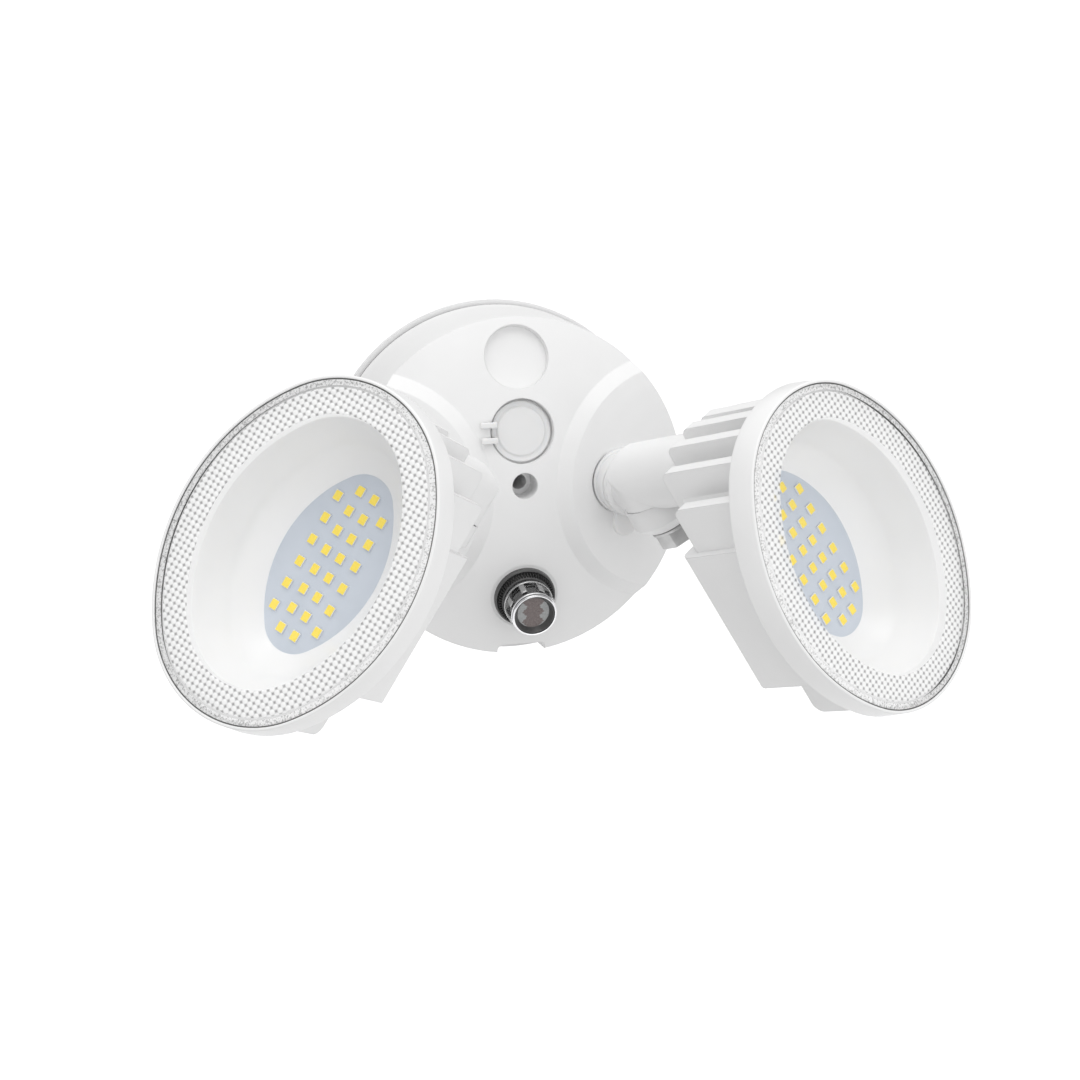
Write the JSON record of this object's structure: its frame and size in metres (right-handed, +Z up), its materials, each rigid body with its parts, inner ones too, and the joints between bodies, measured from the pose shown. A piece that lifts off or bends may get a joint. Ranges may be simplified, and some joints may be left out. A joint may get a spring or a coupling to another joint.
{
  "type": "dusk-to-dawn security floodlight",
  "caption": "Wall floodlight: round canopy with a dusk sensor and a flap-covered selector, and oval LED heads on stems that swivel and tilt, locked by tabbed nuts and clamp screws.",
  "frame": {"origin": "centre of the wall face of the canopy back plate, midway between the two junction-box screw holes", "axes": "+X to the right when facing the light, -Y out of the wall towards the viewer, +Z up"},
  "size_m": [0.2738, 0.1858, 0.1305],
  "materials": {
    "canopy_white": "satin",
    "seal_grey": "matt",
    "flap_white": "matt",
    "screw_steel": "zinc plated",
    "sensor_black": "moulded",
    "sensor_clear": "smoked clear plastic",
    "sensor_chrome": "polished",
    "sensor_face": "glazed",
    "head_white": "satin powder coat on cast aluminium",
    "trim_white": "satin",
    "arm_white": "satin powder coat",
    "clamp_steel": "white coated steel",
    "lens_clear": "clear polycarbonate",
    "reflector_white": "white reflector",
    "board_aluminium": "white-grey solder mask",
    "led_yellow": "phosphor",
    "driver_board": "circuit board"
  },
  "bodies": {
    "canopy": {"back_plate": "canopy_white", "cover_gasket": "seal_grey", "canopy_cover": "canopy_white", "cover_screws": "screw_steel", "sensor_body": "sensor_black", "sensor_nut": "sensor_black", "sensor_cap": "sensor_clear", "sensor_ring": "sensor_chrome", "sensor_eye": "sensor_face", "selector_switch": "sensor_black", "right_hub_seal": "flap_white", "left_hub_seal": "flap_white"},
    "flap": {"selector_flap": "flap_white"},
    "slider": {"selector_slider": "sensor_black"},
    "right_head": {"right_housing": "head_white", "right_bezel": "trim_white", "right_lens_seal": "seal_grey", "right_lens": "lens_clear", "right_reflector": "reflector_white", "right_led_board": "board_aluminium", "right_leds": "led_yellow", "right_driver": "driver_board"},
    "right_arm": {"right_arm": "arm_white"},
    "right_nut": {"right_lock_nut": "trim_white"},
    "right_screw": {"right_clamp_screw": "clamp_steel"},
    "left_head": {"left_housing": "head_white", "left_bezel": "trim_white", "left_lens_seal": "seal_grey", "left_lens": "lens_clear", "left_reflector": "reflector_white", "left_led_board": "board_aluminium", "left_leds": "led_yellow", "left_driver": "driver_board"},
    "left_arm": {"left_arm": "arm_white"},
    "left_nut": {"left_lock_nut": "trim_white"},
    "left_screw": {"left_clamp_screw": "clamp_steel"}
  },
  "joints": [
    {"name": "flap_hinge", "type": "hinge", "parent": "canopy", "child": "flap", "pos_m": [-0.0147, -0.05319, 0.02251], "axis": [0, -0.1426, -0.9898], "range_deg": [0, 110]},
    {"name": "selector_slide", "type": "slide", "parent": "canopy", "child": "slider", "axis": [1, 0, 0], "range_m": [-0.003, 0.003]},
    {"name": "right_swivel", "type": "hinge", "parent": "canopy", "child": "right_arm", "pos_m": [0.0375, -0.092, 0.002], "axis": [0, -1, 0], "range_deg": [-29.7, 60.3]},
    {"name": "right_tilt", "type": "hinge", "parent": "right_arm", "child": "right_head", "pos_m": [0.0375, -0.092, 0.002], "axis": [-0.4955, 0, 0.8686], "range_deg": [-16.9, 45.1]},
    {"name": "right_nut_turn", "type": "hinge", "parent": "canopy", "child": "right_nut", "pos_m": [0.0375, -0.092, 0.002], "axis": [0, -1, 0], "continuous": true},
    {"name": "right_screw_turn", "type": "hinge", "parent": "right_arm", "child": "right_screw", "pos_m": [0.0375, -0.092, 0.002], "axis": [-0.4955, 0, 0.8686], "continuous": true},
    {"name": "left_swivel", "type": "hinge", "parent": "canopy", "child": "left_arm", "pos_m": [-0.0375, -0.092, 0.002], "axis": [0, 1, 0], "range_deg": [-33.1, 56.9]},
    {"name": "left_tilt", "type": "hinge", "parent": "left_arm", "child": "left_head", "pos_m": [-0.0375, -0.092, 0.002], "axis": [-0.5461, 0, -0.8377], "range_deg": [-29.4, 32.6]},
    {"name": "left_nut_turn", "type": "hinge", "parent": "canopy", "child": "left_nut", "pos_m": [-0.0375, -0.092, 0.002], "axis": [0, -1, 0], "continuous": true},
    {"name": "left_screw_turn", "type": "hinge", "parent": "left_arm", "child": "left_screw", "pos_m": [-0.0375, -0.092, 0.002], "axis": [0.5461, 0, 0.8377], "continuous": true}
  ]
}
